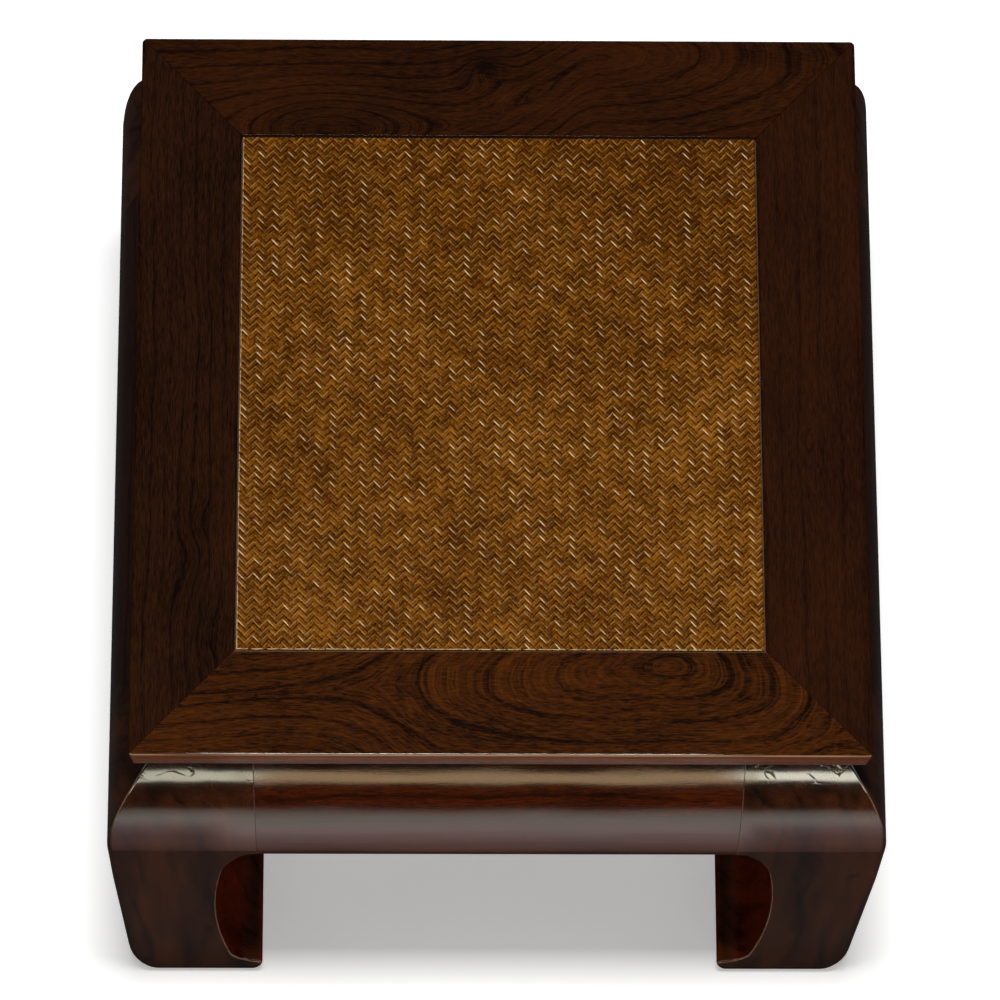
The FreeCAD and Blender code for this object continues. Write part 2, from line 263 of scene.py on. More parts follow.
def leg_outline(height, ease, bulge_edge):
    """A leg's plan at one height, in insets from the top's two edges at that corner."""
    out = outer.inset_at(height) + ease
    if height > shoulder_height:
        out = waist_inset
    into = seam_inset
    if height < apron_underside:
        into = inner.inset_at(height)
    into -= ease
    rise = (height - edge_softening_end) / (edge_softening_start - edge_softening_end)
    swell = bulge_edge * (1 - max(0.0, min(1.0, rise)))
    taper = max(0.0, 1 - height / edge_rounding_start)
    round_edge = max(shoulder_arris, swell, foot_edge_radius * taper)
    arris = leg_arris if height < apron_underside else seam_arris
    arris += toe_rounding * max(0.0, 1 - height / calf_end_height)
    deep = inside_inset if height > pocket_floor else into
    back = inside_inset
    return [
        (Vector((out, out)), round_edge),
        (Vector((into, out)), arris),
        (Vector((into, back)), hidden_arris),
        (Vector((deep, deep)), hidden_arris if height > pocket_floor else arris),
        (Vector((back, into)), hidden_arris),
        (Vector((out, into)), arris),
    ]


def leg_ring(height, at, bulge_edge, ease=0.0):
    """The leg's plan at one height with its corners rounded, laid at another."""
    outline = []
    corners = leg_outline(height, ease, bulge_edge)
    for k, (corner, radius) in enumerate(corners):
        before, after = directions(corners, k)
        steps = 8 if k == 0 else 4
        if abs(before.dot(after)) > 0.5:
            spread = [corner + before * (hidden_arris * (1 - 2 * s / steps)) for s in range(steps + 1)]
            outline.extend(spread)
            continue
        middle = corner + (before + after) * radius
        for s in range(steps + 1):
            angle = math.pi / 2 * s / steps
            outline.append(middle - (after * math.cos(angle) + before * math.sin(angle)) * radius)
    return [Vector((p.x, p.y, at)) for p in outline]


calf_rings = 12
sole_steps = 4


def make_leg(name, across, inward, bulge_edge):
    tiny = 0.01 * mm
    heights = [h for h in outer.heights() + inner.heights() if sole_arris < h < shoulder_height]
    heights += [apron_underside + tiny, pocket_floor - tiny, pocket_floor + tiny, edge_rounding_start]
    calf_height = apron_underside - foot_height
    heights += [foot_height + k * calf_height / calf_rings for k in range(calf_rings + 1)]
    heights = sorted(heights)
    kept = [heights[0]]
    for height in heights[1:]:
        if height - kept[-1] > tiny:
            kept.append(height)
    rings = [leg_ring(0, 0, bulge_edge, ease=sole_arris)]
    for step in range(1, sole_steps + 1):
        angle = math.pi / 2 * step / sole_steps
        lift = sole_arris * (1 - math.cos(angle))
        rings.append(leg_ring(lift, lift, bulge_edge, ease=sole_arris * (1 - math.sin(angle))))
    rings += [leg_ring(height, height, bulge_edge) for height in kept]
    rings.append(leg_ring(shoulder_height, shoulder_height, bulge_edge))
    rings.append(leg_ring(shoulder_height + tiny, shoulder_height, bulge_edge))
    rings.append(leg_ring(slab_underside, slab_underside, bulge_edge))
    for ring in rings:
        for point in ring:
            point.x = across * (half_width - point.x)
            point.y = inward * (half_depth - point.y)
    return new_piece(name, *loft(rings), "leg_wood")


# Each leg's side, depth and how round its outer edge grows over the bulge
leg_places = {
    "front_left": (-1, -1, 5 * mm),
    "front_right": (1, -1, 5 * mm),
    "back_left": (-1, 1, 25 * mm),
    "back_right": (1, 1, 10 * mm),
}
legs = []
for corner_name, (across, inward, bulge_edge) in leg_places.items():
    leg = make_leg("dressed_leg_" + corner_name, across, inward, bulge_edge)
    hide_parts("leg_" + corner_name)
    legs.append(leg)


# Aprons

apron_arris_steps = 5


def apron_section():
    """Across an apron: x is the inset from the top's edge, y the height."""
    low = apron_underside
    out = outer.inset_at(low)
    heights = [h for h in sorted(set(outer.heights()), reverse=True) if h > low + apron_arris]
    points = [Vector((outer.inset_at(h), h)) for h in heights]
    for step in range(apron_arris_steps + 1):
        angle = math.pi / 2 * step / apron_arris_steps
        back = apron_arris * (1 - math.cos(angle))
        points.append(Vector((out + back, low + apron_arris * (1 - math.sin(angle)))))
    points.append(Vector((inside_inset - hidden_arris, low)))
    points.append(Vector((inside_inset, low + hidden_arris)))
    points.append(Vector((inside_inset, shoulder_height)))
    return points


def make_apron(side, place, half_length):
    section = apron_section()
    tight = shrunk(section, seam_arris)
    stations = [(-half_length, tight), (seam_arris - half_length, section)]
    stations += [(half_length - seam_arris, section), (half_length, tight)]
    rings = [[place(p.x, along, p.y) for p in outline] for along, outline in stations]
    apron = new_piece("dressed_apron_" + side, *loft(rings), "apron_wood")
    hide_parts("apron_" + side)
    return apron


side_places = {
    "front": lambda inset, along, height: Vector((along, inset - half_depth, height)),
    "back": lambda inset, along, height: Vector((along, half_depth - inset, height)),
    "left": lambda inset, along, height: Vector((inset - half_width, along, height)),
    "right": lambda inset, along, height: Vector((half_width - inset, along, height)),
}
aprons = {}
for side, place in side_places.items():
    half_length = (half_width if side in ("front", "back") else half_depth) - seam_inset
    aprons[side] = make_apron(side, place, half_length)


# Top frame

board_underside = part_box("mat_board")[0].z
tongue_thickness = 6.0 * mm
mitre_steps = 6


def rail_section(width):
    """Across a rail of the top: x is the inset from the top's edge, y the height."""
    low = slab_underside
    deep = width - groove_depth
    groove_top = board_underside + tongue_thickness
    hidden = [(width, low), (width, board_underside), (deep, board_underside), (deep, groove_top)]
    hidden.append((width, groove_top))
    corners = [(Vector((0, table_height)), slab_top_arris), (Vector((fascia_lean, low)), slab_lower_arris)]
    corners += [(Vector(place), hidden_arris) for place in hidden]
    corners.append((Vector((width, table_height)), opening_arris))
    return rounded(corners)


def rail_end(outline, mitre_slope, step, gap):
    """The section's points at one station near a mitre: insets from both edges of the top's corner."""
    places = []
    for point in outline:
        inset = point.x
        radius = slab_corner_radius - inset
        if radius > 0:
            angle = math.pi / 4 * (1 - step / mitre_steps)
            angle = max(0, angle - gap / slab_corner_radius)
            along = slab_corner_radius - radius * math.sin(angle)
            across = slab_corner_radius - radius * math.cos(angle)
        else:
            along = inset * mitre_slope + gap + step * mm
            across = inset
        places.append((along, across, point.y))
    return places


def make_rail(side, place, width, other_width, half_length):
    section = rail_section(width)
    tight = shrunk(section, seam_arris)
    slope = other_width / width
    ends = [(tight, 0, 0.0)] + [(section, step, seam_arris) for step in range(mitre_steps + 1)]
    stations = [rail_end(outline, slope, step, gap) for outline, step, gap in ends]
    rings = [[place(c, a - half_length, h) for a, c, h in station] for station in stations]
    rings += [[place(c, half_length - a, h) for a, c, h in station] for station in reversed(stations)]
    rail = new_piece("dressed_rail_" + side, *loft(rings), "top_wood")
    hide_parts("top_rail_" + side)
    return rail


rails = {}
for side, place in side_places.items():
    if side in ("front", "back"):
        rails[side] = make_rail(side, place, cross_rail_width, side_rail_width, half_width)
    else:
        rails[side] = make_rail(side, place, side_rail_width, cross_rail_width, half_depth)


# Woven mat: strips of cane run both ways at about 45 degrees, over two and under two

cane_pitch = 4.03 * mm
cane_width = 3.85 * mm
weave_stretch = 1.085
cane_thickness = 0.42 * mm
cane_crown = 0.18 * mm
cane_rise = 0.24 * mm
mat_gap = 1.2 * mm
mat_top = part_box("rattan_mat")[1].z
mat_half_width = opening_half_width - mat_gap
mat_half_depth = opening_half_depth - mat_gap
weave_level = mat_top - cane_rise - cane_crown
strip_wander = 0.20 * mm
# How far a strip is lifted over one repeat of four, and where along the repeat
lift_shares = [-1.0, 0.0, 0.72, 0.98, 0.98, 0.72, 0.0]
phase_shares = [3.0, 3.96, 0.16, 0.6, 1.4, 1.84, 2.04]
root_half = 0.5**0.5


def strip_path(row, seed, shift):
    """Places along one strip: distance along it, place across with a small wander, and lift."""
    random.seed(seed)
    sway = [random.uniform(-1, 1) for k in range(6)]
    across = (row + 0.5) * cane_pitch
    reach = mat_half_width + mat_half_depth
    cells = int(reach / cane_pitch) + 6
    path = []
    for cycle in range(-cells // 4 - 1, cells // 4 + 2):
        low_jitter = random.uniform(0.85, 1.15)
        for phase, lift in zip(phase_shares, lift_shares):
            base = phase - 4 if phase >= 3 else phase
            along = (4 * cycle + base - row + shift) * cane_pitch
            waves = sum(s * math.sin(along / ((11 + 9 * k) * mm) + s * 7) for k, s in enumerate(sway))
            wander = strip_wander * waves / 2
            path.append((along, across + wander, lift * low_jitter if lift > 0 else lift))
    return path


def to_plan(along, across, way):
    """From the strip's own directions to the plan; way is 1 for strips rising to the right."""
    return ((along + across) * root_half, (along - across) * root_half * way * weave_stretch)


def inside_mat(along, across, way):
    x, y = to_plan(along, across, way)
    return abs(x) < mat_half_width and abs(y) < mat_half_depth


def clip_to_mat(path, way):
    """The stretch of the path that lies on the mat, with its two ends on the mat's edge."""
    kept = []
    for k, (along, across, lift) in enumerate(path):
        if inside_mat(along, across, way):
            if not kept and k:
                kept.append(edge_place(path[k - 1], path[k], way))
            kept.append((along, across, lift))
        elif kept:
            kept.append(edge_place(path[k], path[k - 1], way))
            break
    return kept


def edge_place(outside, within, way):
    """Where a strip crosses the mat's edge, found by halving."""
    low = 0.0
    high = 1.0
    for k in range(12):
        share = (low + high) / 2
        trial = [o + (w - o) * share for o, w in zip(outside, within)]
        if inside_mat(trial[0], trial[1], way):
            high = share
        else:
            low = share
    return tuple(o + (w - o) * high for o, w in zip(outside, within))


# Across one strip: side in widths, rise in crowns, or the under side where it is negative
cross_shares = [(-0.5, -1.0), (-0.5, 0.0), (-0.22, 0.85), (0.22, 0.85), (0.5, 0.0), (0.5, -1.0)]


def make_weave(name, way, shift, seed):
    points, faces, shades = [], [], []
    rows = int((mat_half_width + mat_half_depth) * root_half / cane_pitch) + 2
    for row in range(-rows, rows):
        path = clip_to_mat(strip_path(row, seed + row, shift), way)
        if len(path) < 3:
            continue
        random.seed(seed * 7 + row)
        width = cane_width * random.uniform(0.94, 1.03)
        tone = random.random()
        twist = random.uniform(-0.05, 0.05) * mm
        start = len(points)
        for along, across, lift in path:
            for side, rise in cross_shares:
                height = cane_crown * rise if rise >= 0 else -cane_thickness
                x, y = to_plan(along, across + side * width, way)
                x = max(-mat_half_width, min(mat_half_width, x))
                y = max(-mat_half_depth, min(mat_half_depth, y))
                z = weave_level + lift * cane_rise + height + twist * side
                points.append((x, y, z))
                shades.append((0.5 + side, along / cane_pitch + row - shift, tone))
        count = len(cross_shares)
        for k in range(len(path) - 1):
            for i in range(count - 1):
                a = start + k * count + i
                faces.append((a, a + 1, a + 1 + count, a + count))
    mesh = bpy.data.meshes.new(name)
    mesh.from_pydata(points, [], faces)
    mesh.shade_smooth()
    mesh.set_sharp_from_angle(angle=math.radians(50))
    across_map = mesh.uv_layers.new(name="strip")
    tone_map = mesh.uv_layers.new(name="tone")
    for loop in mesh.loops:
        side, along, tone = shades[loop.vertex_index]
        across_map.data[loop.index].uv = (side, along)
        tone_map.data[loop.index].uv = (tone, (1 - way) / 2)
    weave = put_in(name, mesh)
    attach(weave, "root")
    return weave


weaves = [make_weave("weave_rising", 1, 0, 100), make_weave("weave_falling", -1, 2, 900)]


# The mat's trimmed edge of cut cane ends, laid only at the front and the left, where it catches the light;
# its pale colour is partly painted highlight

bead_radius = 0.55 * mm
bead_wobble = 0.12 * mm
bead_step = 1.9 * mm
bead_sides = 6


def make_bead(name, start, end, radius, seed):
    """A thin uneven line of cut cane ends along the mat's edge."""
    random.seed(seed)
    rings = []
    run = end - start
    side = Vector((-run.y, run.x)).normalized()
    steps = int(run.length / bead_step)
    for step in range(steps + 1):
        at = start + run * (step / steps)
        drift = random.uniform(-bead_wobble, bead_wobble)
        lift = random.uniform(-bead_wobble, bead_wobble)
        ring = []
        for k in range(bead_sides):
            angle = 2 * math.pi * k / bead_sides
            out = at + side * (radius * math.cos(angle) + drift)
            ring.append(Vector((out.x, out.y, mat_top - radius + radius * math.sin(angle) + lift)))
        rings.append(ring)
    return new_piece(name, *loft(rings), "rattan", smooth_angle=70)


edge_x = mat_half_width - bead_radius
edge_y = mat_half_depth - bead_radius
near_left = Vector((-edge_x, -edge_y))
near_right = Vector((edge_x, -edge_y))
far_left = Vector((-edge_x, edge_y))
front_bead = make_bead("mat_edge_front", near_left, near_right, bead_radius, 5)
left_bead = make_bead("mat_edge_left", far_left, near_left, bead_radius * 0.8, 6)
beads = [front_bead, left_bead]
for piece in weaves + beads:
    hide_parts("rattan_mat")


# Materials


class Nodes:
    """The nodes of a material or of the world."""

    def __init__(self, owner):
        owner.use_nodes = True
        self.tree = owner.node_tree
        self.tree.nodes.clear()

    def node(self, kind, inputs=None, **settings):
        made = self.tree.nodes.new(kind)
        for key, value in settings.items():
            setattr(made, key, value)
        for key, value in (inputs or {}).items():
            self.put(made.inputs[key], value)
        return made

    def put(self, socket, value):
        if isinstance(value, bpy.types.NodeSocket):
            self.tree.links.new(value, socket)
        else:
            socket.default_value = value


class Paint(Nodes):
    """Short calls for building one material's nodes."""

    def __init__(self, name):
        self.material = bpy.data.materials.new(name)
        super().__init__(self.material)
        self.place = self.node("ShaderNodeTexCoord").outputs["Object"]

    def parts(self, place=None):
        """The three coordinates of a place, by default of the point itself."""
        return self.node("ShaderNodeSeparateXYZ", {0: place or self.place}).outputs

    def join(self, *coordinates):
        return self.node("ShaderNodeCombineXYZ", dict(enumerate(coordinates))).outputs[0]

    def math(self, kind, a, b=0.0, c=0.0):
        return self.node("ShaderNodeMath", {0: a, 1: b, 2: c}, operation=kind).outputs[0]

    def times(self, a, b):
        return self.math("MULTIPLY", a, b)

    def plus(self, a, b):
        return self.math("ADD", a, b)

    def minus(self, a, b):
        return self.math("SUBTRACT", a, b)

    def times_plus(self, a, b, c):
        return self.math("MULTIPLY_ADD", a, b, c)

    def vector(self, kind, a, b):
        made = self.node("ShaderNodeVectorMath", {0: a, 1: b}, operation=kind)
        return made.outputs["Value" if kind == "DOT_PRODUCT" else "Vector"]

    def noise(self, place, scale, detail=2.0, roughness=0.5, distortion=0.0):
        inputs = {"Vector": place, "Scale": scale, "Detail": detail, "Roughness": roughness}
        inputs["Distortion"] = distortion
        return self.node("ShaderNodeTexNoise", inputs).outputs["Fac"]

    def grain(self, scales, place=None, detail=2.0, roughness=0.5, distortion=0.0):
        """Noise with its own fineness along each axis, in patches per metre."""
        return self.noise(self.scaled(scales, place), 1.0, detail, roughness, distortion)

    def scaled(self, scales, place=None):
        return self.vector("MULTIPLY", place or self.place, scales)

    def blend(self, share, a, b, mode="MIX"):
        made = self.node("ShaderNodeMix", data_type="RGBA", blend_type=mode)
        self.put(made.inputs[0], share)
        self.put(made.inputs[6], a)
        self.put(made.inputs[7], b)
        return made.outputs[2]

    def ramp(self, value, stops):
        made = self.node("ShaderNodeValToRGB", {"Fac": value})
        elements = made.color_ramp.elements
        while len(elements) < len(stops):
            elements.new(0.5)
        for element, (at, colour) in zip(elements, stops):
            element.position = at
            element.color = colour if len(colour) == 4 else (*colour, 1)
        return made.outputs["Color"]

    def span(self, value, low, high, to_low=0.0, to_high=1.0, kind="SMOOTHSTEP"):
        inputs = {"Value": value, "From Min": low, "From Max": high, "To Min": to_low, "To Max": to_high}
        return self.node("ShaderNodeMapRange", inputs, interpolation_type=kind).outputs["Result"]

    def vary(self, level, noise, amount, low=0.3, high=0.7):
        """The level, raised or lowered with the noise by up to the amount."""
        return self.plus(level, self.span(noise, low, high, -amount, amount, "LINEAR"))

    def surface(self, shader):
        self.node("ShaderNodeOutputMaterial", {"Surface": shader.outputs[0]})
        return self.material

    def finish(self, colour, bump, **settings):
        inputs = {"Base Color": colour, "Normal": bump, "Coat Normal": bump}
        shader = self.node("ShaderNodeBsdfPrincipled", inputs)
        for key, value in settings.items():
            self.put(shader.inputs[key.replace("_", " ")], value)
        return self.surface(shader)

    def bump(self, height, distance):
        inputs = {"Height": height, "Distance": distance, "Strength": 1.0}
        return self.node("ShaderNodeBump", inputs).outputs["Normal"]


def grey(value):
    return (value, value, value, 1)


# Heights between which a shade or a mark comes in, and the shoulders' painted shade and painted highlight
fascia_shade = (546 * mm, 532 * mm)
shoulder_painted_shade = (430 * mm, 490 * mm)
shoulder_crack_start = (478 * mm, 492 * mm)
shoulder_highlight_start = (400 * mm, 460 * mm)

# The wood's figure where a piece asks for nothing else, and its fibres
plain_figure = {
    "centre": (0.0, -0.4), "spread": (9.0, 9.0), "droop": (0.0, 0.0), "droop_length": 1.0, "reach": 0.020,
    "spacing": 8.0 * mm, "start": 0.0, "straight": (1.0, 2.0, 0.0), "depth": 130.0,
}
droop_ease = 30.0 * mm
reach_softness = 0.25
slow_bends = (7, 22, 22)
quick_bends = (26, 75, 75)
fibre_fineness = (110, 900, 900)
lacquer_index = 1.6
line_stops = [(0.0, grey(1.0)), (0.14, grey(0.55)), (0.36, grey(0.12)), (0.70, grey(0.0)), (1.0, grey(1.0))]


def ring_count(paint, along, first, second, shape):
    """How many yearly rings lie between the figure's centre and a place in the wood."""
    off = paint.minus(along, shape["centre"][0])
    after = paint.math("MAXIMUM", off, 0.0)
    before = paint.math("MAXIMUM", paint.times(off, -1.0), 0.0)
    spread = shape["spread"]
    length = paint.plus(paint.math("DIVIDE", before, spread[0]), paint.math("DIVIDE", after, spread[1]))
    reach = shape["reach"]
    length = paint.math("SMOOTH_MIN", length, reach, reach * reach_softness)
    side = paint.minus(first, shape["centre"][1])
    for run, droop in zip((before, after), shape["droop"]):
        eased = paint.math("SQRT", paint.times_plus(run, run, droop_ease**2))
        bent = paint.math("DIVIDE", paint.minus(eased, droop_ease), shape["droop_length"])
        side = paint.times_plus(paint.math("TANH", bent), droop * shape["droop_length"], side)
    square = paint.times_plus(length, length, paint.times(side, side))
    rings = paint.math("DIVIDE", paint.math("SQRT", square), shape["spacing"])
    rings = paint.plus(rings, shape["start"])
    come_in, full, per_metre = shape["straight"]
    more = paint.times(paint.math("ABSOLUTE", side), paint.span(before, come_in, full, 0.0, per_metre))
    rings = paint.plus(rings, more)
    return paint.times_plus(paint.minus(second, table_height), shape["depth"], rings)


def wood(
    name, grain, pale, dark, figure=None, knots=(), wander=1.0, lines=1.0, mottle=1.0,
    gloss=0.06, relief=0.03, flank=None, leg=False, top=False,
):
    """Lacquered wood: yearly rings cut into arches and lines, bent round knots, under fine fibres.

    grain is the axis of the fibres. figure holds the arches' centre (along, across), their length over
    their width to either side, their droop to either side and over what length, the half width past which
    lines run straight, the rings' spacing and start, where more straight lines come in (from, to, how many
    per metre) and the rings per metre on the third axis.
    knots are (along, across, half length, half width, rings, stain).
    """
    paint = Paint(name)
    axes = paint.parts()
    order = {"X": (0, 1, 2), "Y": (1, 0, 2), "Z": (2, 0, 1)}[grain]
    along, first, second = (axes[k] for k in order)
    place = paint.join(along, first, second)
    rings = ring_count(paint, along, first, second, {**plain_figure, **(figure or {})})
    rings = paint.times_plus(paint.grain(slow_bends, place, 1.0), 3.2 * wander, rings)
    rings = paint.times_plus(paint.grain(quick_bends, place), 0.9 * wander, rings)
    stains = 0.0
    for knot_along, knot_across, half_length, half_breadth, extra_rings, stain in knots:
        centred = paint.vector("SUBTRACT", place, (knot_along, knot_across, 0))
        scaled = paint.vector("MULTIPLY", centred, (1 / half_length, 1 / half_breadth, 0))
        swell = paint.math("EXPONENT", paint.times(paint.vector("DOT_PRODUCT", scaled, scaled), -1.0))
        rings = paint.times_plus(swell, extra_rings, rings)
        stains = paint.times_plus(swell, stain, stains)

    # Dark lines, strong and weak by turns, each fading on one side
    line = paint.ramp(paint.math("FRACT", rings), line_stops)
    patches = paint.grain((0.7, 4.0, 0), paint.join(rings, along), 1.0)
    strong = paint.span(patches, 0.32, 0.68, 0.40, 1.0)
    by_turns = paint.math("COSINE", paint.times(paint.math("ROUND", rings), math.pi))
    strong = paint.times(strong, paint.times_plus(by_turns, 0.40, 0.60))
    fine = paint.math("SINE", paint.times(rings, 8 * math.pi))

    # Fibres that follow the rings, straight fibres and wide soft patches
    wings = paint.grain((80.0, 5.5, 420.0), paint.join(along, rings, second), 3.0, 0.65, 0.9)
    fibre = paint.grain(fibre_fineness, place, 3.0, 0.65, 0.3)
    wide = paint.grain((4.5, 40, 40) if leg else (8, 20, 20), place, 2.0, 0.6)
    shade = paint.plus(paint.times(paint.times(line, strong), -0.62 * lines), 0.50)
    shade = paint.minus(shade, stains)
    shade = paint.times_plus(fine, 0.05 * lines, shade)
    shade = paint.vary(shade, wings, 0.38 * mottle, 0.32, 0.68)
    shade = paint.vary(shade, fibre, 0.34 * mottle)
    shade = paint.vary(shade, wide, 0.36 if leg else 0.16)
    height = paint.times_plus(fibre, relief, paint.grain((14, 30, 30), place, 1.0, 0.4))
    normal = paint.parts(paint.node("ShaderNodeNewGeometry").outputs["Normal"])
    if leg:
        crack = shoulder_cracks(paint)
        height = paint.times_plus(crack, -0.38, height)
        shade = paint.times_plus(crack, -0.1, shade)
        # Painted shade: the legs darker towards the shoulders' tops, where the light from above falls
        # strongest
        shade = paint.minus(shade, paint.span(paint.parts()[2], *shoulder_painted_shade, 0.0, 0.16))
    colour = paint.blend(paint.span(shade, 0.0, 1.1, kind="LINEAR"), (*dark, 1), (*pale, 1))
    lacquer = 1.0
    if top:
        curved = paint.times(paint.span(normal[2], 0.999, 0.985), paint.span(normal[2], 0.20, 0.40))
        lacquer = paint.times_plus(curved, -0.955, 1.0)
    if flank:
        facing = paint.span(normal[2], 0.75, 0.45, 0.0, 0.92)
        lacquer = paint.times_plus(facing, -0.40, lacquer)
        colour = paint.blend(facing, colour, fascia_streaks(paint, place, flank))
        # Painted highlight along the upper front edge
        colour = arris_highlight(paint, place, normal[2], colour)
    if leg:
        # Painted highlights along the legs' inner edges and round the shoulders' corners
        colour = leg_tint_and_edge_highlights(paint, colour, normal, wings)
    return paint.finish(
        colour, paint.bump(height, 0.35 * mm), Roughness=0.5, Specular_IOR_Level=0.0,
        Coat_Weight=lacquer, Coat_Roughness=gloss, Coat_IOR=lacquer_index,
    )


def fascia_streaks(paint, place, flank):
    """Streaks along the fascia, which darken towards its lower edge."""
    streaks = paint.grain((14, 700, 700), place, 3.0, 0.7)
    band = paint.ramp(streaks, [(0.38, [c * 0.40 for c in flank]), (0.62, flank)])
    return paint.blend(paint.span(paint.parts()[2], *fascia_shade, 0.0, 0.45), band, grey(0))


def arris_highlight(paint, place, upward, colour):
    """A painted highlight on the rail's upper front edge, patchy along its length."""
    highlight = paint.times(paint.span(upward, 0.95, 0.82), paint.span(upward, 0.30, 0.50))
    patchy = paint.grain((9, 40, 40), place, 2.0, 0.6)
    highlight = paint.times(highlight, paint.span(patchy, 0.35, 0.65, 0.25, 0.85))
    return paint.blend(highlight, colour, (0.42, 0.27, 0.15, 1))


def shoulder_cracks(paint):
    """Fine checks in the lacquer on top of the shoulders."""
    noise = paint.node("ShaderNodeTexNoise", {"Vector": paint.place, "Scale": 45.0, "Detail": 2.0})
    drift = paint.vector("MULTIPLY", noise.outputs["Color"], (0.02, 0.02, 0.02))
    bent = paint.vector("ADD", paint.place, drift)
    cells = paint.node("ShaderNodeTexVoronoi", {"Vector": bent, "Scale": 34.0}, feature="DISTANCE_TO_EDGE")
    narrow = paint.span(cells.outputs["Distance"], 0.024, 0.0)
    some = paint.span(paint.noise(paint.place, 38.0, 1.0), 0.48, 0.58)
    high = paint.span(paint.parts()[2], *shoulder_crack_start)
    return paint.times(paint.times(narrow, some), high)


def leg_tint_and_edge_highlights(paint, colour, normal, mottle):
    """Inner faces redder; a thin painted highlight along the inner edge and round the shoulder's corner."""
    at = paint.parts()
    outward = paint.times(normal[0], paint.math("SIGN", at[0]))
    onward = paint.math("MAXIMUM", paint.times(normal[1], paint.math("SIGN", at[1])), 0.0)
    inward = paint.math("MAXIMUM", paint.times(outward, -1.0), 0.0)
    redder = paint.blend(1.0, colour, (2.0, 0.95, 0.9, 1), "MULTIPLY")
    colour = paint.blend(paint.span(inward, 0.45, 0.9), colour, redder)
    inner_edge = paint.span(paint.times(inward, onward), 0.22, 0.42)
    outer_edge = paint.span(paint.times(paint.math("MAXIMUM", outward, 0.0), onward), 0.25, 0.42)
    outer_edge = paint.times(outer_edge, paint.span(at[2], *shoulder_highlight_start))
    edge = paint.math("MAXIMUM", inner_edge, outer_edge)
    edge = paint.times(edge, paint.span(mottle, 0.30, 0.55, 0.5, 0.9))
    return paint.blend(edge, colour, (0.30, 0.20, 0.13, 1))


top_materials = {
    "front": wood(
        "elm_front", "X", (0.0880, 0.0224, 0.0029), (0.0075, 0.0026, 0.0013),
        {
            "centre": (0.130, -0.222), "spread": (3.3, 1.75), "droop": (0.085, 0.30), "reach": 0.070,
            "spacing": 8.4 * mm, "start": 0.30, "straight": (0.17, 0.30, 130.0),
        },
        wander=0.30, lines=0.80, flank=(0.33, 0.085, 0.012), top=True,
    ),
    "back": wood(
        "elm_back", "X", (0.0550, 0.0142, 0.0026), (0.0060, 0.0021, 0.0012),
        {
            "centre": (0.080, 0.278), "spread": (12.0, 2.8), "droop": (1.2, 0.0), "droop_length": 0.050,
            "reach": 0.200, "spacing": 6.75 * mm, "start": 0.9,
        },
        [
            (-0.134, 0.214, 0.062, 0.032, -8.0, 0.10),
            (-0.1340, 0.212, 0.045, 0.014, 0.0, 0.12),
            (-0.0106, 0.269, 0.017, 0.012, -3.0, 0.16),
            (-0.0106, 0.2685, 0.0065, 0.0045, 0.0, 0.45),
            (0.010, 0.252, 0.035, 0.020, -1.2, 0.0),
        ],
        wander=0.50, mottle=0.8, lines=0.75, top=True,
    ),
    "left": wood(
        "elm_left", "Y", (0.0380, 0.0116, 0.0034), (0.0048, 0.0018, 0.0011),
        {"centre": (0.0, -0.400), "spacing": 5.5 * mm, "depth": 150},
        [
            (-0.108, -0.2287, 0.016, 0.010, 1.0, 0.1),
            (-0.142, -0.2350, 0.022, 0.012, -1.1, 0.1),
            (-0.200, -0.222, 0.034, 0.014, 1.4, 0.1),
            (0.040, -0.231, 0.120, 0.018, 0.0, 0.12),
        ],
        wander=0.8, lines=0.7, mottle=0.9, top=True,
    ),
    "right": wood(
        "elm_right", "Y", (0.0440, 0.0120, 0.0036), (0.0085, 0.0026, 0.0013),
        {"centre": (0.05, 0.420), "spacing": 7.5 * mm, "depth": 150},
        [(-0.049, 0.2337, 0.035, 0.005, -0.8, 0.0)], wander=0.4, lines=0.55, mottle=0.7, top=True,
    ),
}
apron_material = wood(
    "elm_apron", "X", (0.1120, 0.0170, 0.0009), (0.0140, 0.0024, 0.0003),
    {"centre": (0.0, -0.200), "depth": 120}, wander=0.5, lines=0.8, gloss=0.10, relief=0.05,
)
# The sides' apron wood, darker than the front's as painted shade on the sides
side_apron_material = wood(
    "elm_side_apron", "Y", (0.0560, 0.0140, 0.0040), (0.0080, 0.0024, 0.0010),
    {"centre": (0.0, -0.200), "depth": 120}, wander=0.5, gloss=0.12,
)
leg_material = wood(
    "elm_leg", "Z", (0.1120, 0.0300, 0.0086), (0.0110, 0.0034, 0.0017),
    {"centre": (0.3, -0.500), "spread": (6.0, 6.0), "reach": 0.040, "spacing": 14.0 * mm, "depth": 70},
    wander=0.9, lines=0.6, mottle=0.35, gloss=0.085, leg=True,
)


